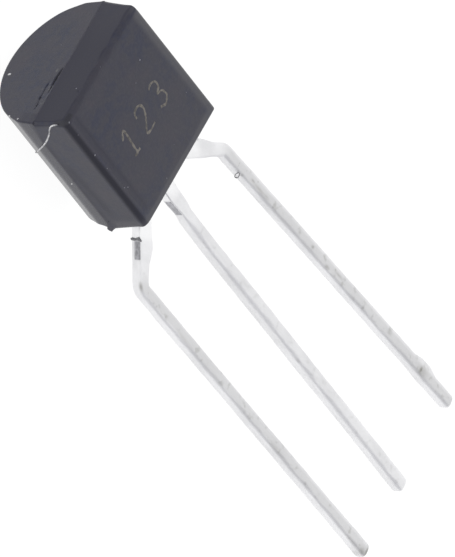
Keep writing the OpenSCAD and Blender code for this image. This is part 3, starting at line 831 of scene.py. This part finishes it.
# Bits of dust and lint: two places on their face, size each way and turn in degrees. The places
# are across and up on the flat, across and back on the top, back and up on the side.
FLAT_DUST = [
    (1.19, 3.4, 0.024, 0.024, 0), (0.59, 3.1, 0.012, 0.012, 0), (-2.05, 4.5, 0.03, 0.022, 30),
    (-2.08, 3.99, 0.016, 0.012, 60), (-2.06, 3.07, 0.028, 0.02, 10), (-2.02, 2.43, 0.014, 0.01, 0),
    (-1.96, 1.52, 0.024, 0.02, 0), (-1.86, 1.42, 0.014, 0.022, 40), (-0.02, 4.52, 0.016, 0.014, 0),
    (0.3, 0.72, 0.014, 0.01, 20), (1.75, 1.3, 0.01, 0.01, 0), (-0.62, 0.32, 0.024, 0.008, 55)]
TOP_DUST = [(-0.96, -1.02, 0.018, 0.018, 0), (0.62, 0.5, 0.018, 0.018, 0), (0.8, 1.8, 0.02, 0.014, 0)]
SIDE_DUST = [(-0.72, 2.9, 0.016, 0.012, 0)]
TOP_LINT = [
    (-0.5, 1.83, 0.075, 0.042, 15), (-2.02, 0.91, 0.034, 0.026, 0), (-2.12, 0.52, 0.034, 0.026, 40)]
SEAM_LINT = [(0.15, 2.07, 0.03, 0.022, 0)]
SUNK, SEAM_OUT = 0.01, 0.02  # of the bits on the top, and of the seam's one
LUMP_H, LUMP_ROWS, LUMP_COLUMNS = 0.8, 6, 9
# The fibre's course over the side and past the round back: towards the back and up the body.
FIBRE = [
    (-0.98, 4.6), (-0.88, 4.59), (-0.76, 4.56), (-0.67, 4.5), (-0.58, 4.4), (-0.48, 4.26),
    (-0.36, 4.13), (-0.22, 3.99), (-0.05, 3.85), (0.14, 3.72), (0.42, 3.52), (0.73, 3.29), (0.95, 3.12),
    (1.15, 2.97)]
FIBRE_STEP, FIBRE_OUT, FIBRE_SIZE = 0.035, 0.03, (0.024, 0.022)


def finish(name, colours, step, rough, grains, relief, **sockets):
    """A material with two colours in blotches, its roughness in grains and a fine relief."""
    made, tree, shader = surface(name, **sockets)
    fine, blotch = grained(tree, *grains)
    share = window(tree, blotch, *step) if step else blotch
    tree.links.new(blended(tree, share, *colours), shader["Base Color"])
    tree.links.new(between(tree, fine, *rough), shader["Roughness"])
    bumped(tree, shader, fine, relief)
    return made


def eased_path(points, spacing):
    """A smooth run through the points, at about that spacing."""
    points = np.array(points, float)
    run = run_along(points)
    slope = np.gradient(points, run, axis=0)
    at = np.linspace(0, run[-1], max(3, int(run[-1] / spacing)))
    i = np.clip(np.searchsorted(run, at, side="right") - 1, 0, len(run) - 2)
    gap = (run[i + 1] - run[i])[:, None]
    t = (at - run[i])[:, None] / gap
    return (points[i] * (1 + 2 * t) * (1 - t) ** 2 + slope[i] * gap * t * (1 - t) ** 2
            + points[i + 1] * t * t * (3 - 2 * t) - slope[i + 1] * gap * t * t * (1 - t))


def gathered(name, parts, material):
    """One piece from several closed shells."""
    faces, count = [], 0
    for points, some_faces in parts:
        faces += [tuple(k + count for k in face) for face in some_faces]
        count += len(points)
    made = build(name, np.concatenate([points for points, _ in parts]), faces, material)


def numerals():
    """The pin numbers, as unsteady strokes that stand a hair above the flat."""
    parts = []
    for number, strokes in NUMERALS.items():
        foot = (number - 2) * NUMERAL_PITCH + NUMERAL_SHIFT
        for k, stroke in enumerate(strokes):
            corners = [(foot + a * NUMERAL_H, -FRONT_DEPTH, NUMERAL_Z + b * NUMERAL_H) for a, b in stroke]
            line = eased_path(corners, STROKE_STEP)
            at = np.arange(len(line)) * STROKE_STEP + number * 7 + k * 3
            line[:, 0] += STROKE_SHAKE * wander(at, 0.12, 101)
            line[:, 2] += STROKE_SHAKE * wander(at, 0.1, 103)
            width = STROKE_R * (1 + STROKE_VARIES * wander(at, 0.07, 107))
            parts.append(strand(line, width, STROKE_H, (0, -1, 0)))
    gathered("pin_numbers", parts, laser_mark)


def mote(place, out, size_a, size_b, turn, seed):
    """A small irregular lump, half sunk."""
    out = np.array(out, float)
    side = np.cross(out, (1, 0, 0) if out[2] else (0, 0, 1))
    other = np.cross(out, side)
    c, s = cos(radians(turn)), sin(radians(turn))
    side, other = side * c + other * s, other * c - side * s
    i, k = np.mgrid[1:LUMP_ROWS, 0:LUMP_COLUMNS]
    rise, around = (pi * i / LUMP_ROWS)[..., None], (2 * pi * k / LUMP_COLUMNS)[..., None]
    bump = 1 + 0.22 * wander(i * 0.7 + k * 1.9, 1.0, seed)[..., None]
    pole = out * LUMP_H * min(size_a, size_b)
    girth = side * size_a * np.cos(around) + other * size_b * np.sin(around)
    lump = bump * (girth * np.sin(rise) - pole * np.cos(rise))
    points = np.concatenate([[-pole], lump.reshape(-1, 3), [pole]]) + np.array(place)
    ring = [(k, (k + 1) % LUMP_COLUMNS) for k in range(LUMP_COLUMNS)]
    rows = range(1, len(points) - 1, LUMP_COLUMNS)
    faces = [(0, 1 + n, 1 + k) for k, n in ring]
    faces += [(a + k, a + n, b + n, b + k) for a, b in zip(rows, rows[1:]) for k, n in ring]
    faces += [(rows[-1] + k, rows[-1] + n, len(points) - 1) for k, n in ring]
    return points, faces


def settled(bits, spot, out, seed):
    """Bits on one face, which looks along out. spot turns their two places into a point."""
    return [mote(spot(a, b), out, *shape, seed + k) for k, (a, b, *shape) in enumerate(bits)]


def on_top(x, y):
    """A place just under the top face."""
    return x, y, BODY_H - SUNK


def dust():
    """Fine dust on the flat, the top and the side."""
    parts = settled(FLAT_DUST, lambda x, z: (x, -FRONT_DEPTH, z), (0, -1, 0), 200)
    for points, _ in parts:
        # Up by the top edge, where the part is highest, they lie flush with the flat.
        limit = 0.1 * np.maximum(4.4 - points[:, 2], 0) - 0.005
        points[:, 1] = np.maximum(points[:, 1], -FRONT_DEPTH - limit)
    parts += settled(TOP_DUST, on_top, (0, 0, 1), 212)
    parts += settled(SIDE_DUST, lambda y, z: (-front_side(y), y, z), (-1, 0, 0), 215)
    gathered("dust", parts, fine_dust)


def lint_bits():
    """Pale crumbs of lint on the top and one on the left seam."""
    parts = settled(TOP_LINT, on_top, (0, 0, 1), 300)
    parts += settled(SEAM_LINT, lambda y, z: (-HALF_W - SEAM_OUT, y, z), (-1, 0, 0), 310)
    gathered("lint_bits", parts, lint)


def fibre():
    """A fibre that lies over the side and past the round back."""
    points = []
    for y, z in FIBRE:
        skin = front_side(y) if y < 0 else sqrt(BACK_R ** 2 - (y - BACK_CY) ** 2)
        points.append((-skin - FIBRE_OUT, y, z))
    line = eased_path(points, FIBRE_STEP)
    gathered("fibre", [strand(line, *FIBRE_SIZE, (-1, 0, 0))], lint)


laser_mark = finish("laser_mark", [(0.095, 0.09, 0.084, 1), (0.2, 0.185, 0.165, 1)], (0.34, 0.62),
                    (0.6, 0.9), (30, 9), 0.004, IOR=1.5)
POWDERY = {"step": (0.35, 0.6), "rough": (0.7, 0.95), "grains": (25, 6), "relief": 0.003, "IOR": 1.4}
lint = finish("lint", [(0.3, 0.3, 0.32, 1), (0.8, 0.8, 0.8, 1)], **POWDERY)
fine_dust = finish("fine_dust", [(0.1, 0.1, 0.13, 1), (0.3, 0.3, 0.34, 1)], **POWDERY)
numerals()
dust()
lint_bits()
fibre()


# --------------------------------------------------
# Chip and bond wires
# Sealed in the epoxy: a sawn silicon chip on silver-filled adhesive, and two gold wires from
# its pads to the posts of the other leads. They keep their drawn shapes and get real finishes.

CHIP_EDGE = 0.004
INNER = {"step": None, "grains": (40, 6), "relief": 0.001}
silicon = finish("sawn_silicon", [(0.1, 0.11, 0.14, 1), (0.16, 0.17, 0.21, 1)],
                 rough=(0.12, 0.3), Metallic=0.6, **INNER)
silver_paste = finish("silver_paste", [(0.42, 0.42, 0.4, 1), (0.62, 0.62, 0.6, 1)],
                      rough=(0.45, 0.7), Metallic=0.8, **INNER)
gold = finish("gold_wire", [(0.8, 0.56, 0.2, 1), (0.9, 0.66, 0.28, 1)],
              rough=(0.15, 0.3), Metallic=1.0, **INNER)
for node, material in {"silicon_die": silicon, "die_attach": silver_paste, "base_bond_wire": gold,
                       "emitter_bond_wire": gold}.items():
    piece = frame["nodes"][node]
    piece.data.materials.clear()
    piece.data.materials.append(material)
    if "wire" not in node:
        edge = piece.modifiers.new("edge", "BEVEL")
        edge.width, edge.segments = CHIP_EDGE * MM, 2


# --------------------------------------------------
# Floor, light and camera
# A white sheet under soft studio light, seen from above the lead end's left side.

FLOOR_SIZE = 1.2
WHITENED = 0.85  # how far the sheet is seen as pure white, which leaves the shadow faint


def white_sheet():
    """Matt white card that keeps the part's shadow."""
    made, tree, shader = surface("white_card", Roughness=0.9, Specular_IOR_Level=0.0)
    fine = grained(tree, 3, 0.1)[0]
    tree.links.new(blended(tree, fine, (0.94, 0.94, 0.94, 1), (0.96, 0.96, 0.96, 1)),
                   shader["Base Color"])
    rays = add(tree, "LightPath", {}).outputs
    seen = add(tree, "Math", {0: rays["Is Camera Ray"], 1: rays["Is Glossy Ray"]}, operation="MAXIMUM")
    white = add(tree, "Emission", {"Color": (1, 1, 1, 1), "Strength": 1.1})
    shown = add(tree, "MixShader", {0: product(tree, seen.outputs[0], WHITENED),
                                    1: tree.nodes["Principled BSDF"].outputs[0], 2: white.outputs[0]})
    tree.links.new(shown.outputs[0], tree.nodes["Material Output"].inputs["Surface"])
    return made


bpy.ops.mesh.primitive_plane_add(size=FLOOR_SIZE)
floor = bpy.context.object
floor.name = "floor"
floor.data.materials.append(white_sheet())


def studio():
    """White light, dimmed in a wide patch behind the part and a little near its front."""
    world = bpy.data.worlds.new("studio")
    world.use_nodes = True
    sky, background = world.node_tree, world.node_tree.nodes["Background"].inputs
    background["Strength"].default_value = 1.0
    ray = add(sky, "TexCoord", {}).outputs["Generated"]
    patches = []
    for towards, low, high in (((0.68, 0.62, 0.38), 0.6, 0.84), ((-0.35, -0.75, 0.56), 0.6, 0.95)):
        turned = add(sky, "VectorMath", {0: ray, 1: towards}, operation="DOT_PRODUCT")
        patches.append(window(sky, turned.outputs["Value"], low, high))
    wide, near = patches
    light = blended(sky, near, (1, 1, 1, 1), (0.7, 0.7, 0.72, 1))
    sky.links.new(blended(sky, wide, light, (0.5, 0.5, 0.53, 1)), background["Color"])
    return world


AZIMUTH, ELEVATION, ROLL = radians(43.58), radians(47.97), radians(84.5)
DISTANCE, LENS, SENSOR_W, CLIP = 0.5, 1134, 36, (0.05, 5)
AIM = package @ (Vector((-1.461, -1.764, -3.109)) * MM)
towards = Vector((sin(AZIMUTH) * cos(ELEVATION), -cos(AZIMUTH) * cos(ELEVATION), sin(ELEVATION)))
camera = bpy.data.objects.new("camera", bpy.data.cameras.new("camera"))
camera.location = AIM + towards * DISTANCE
camera.rotation_mode = "QUATERNION"
camera.rotation_quaternion = (-towards).to_track_quat("-Z", "Y") @ Matrix.Rotation(
    ROLL, 3, "Z").to_quaternion()
camera.data.lens, camera.data.sensor_width = LENS, SENSOR_W
camera.data.clip_start, camera.data.clip_end = CLIP

scene = bpy.context.scene
scene.world = studio()
scene.collection.objects.link(camera)
scene.camera = camera
scene.view_settings.view_transform = "Standard"
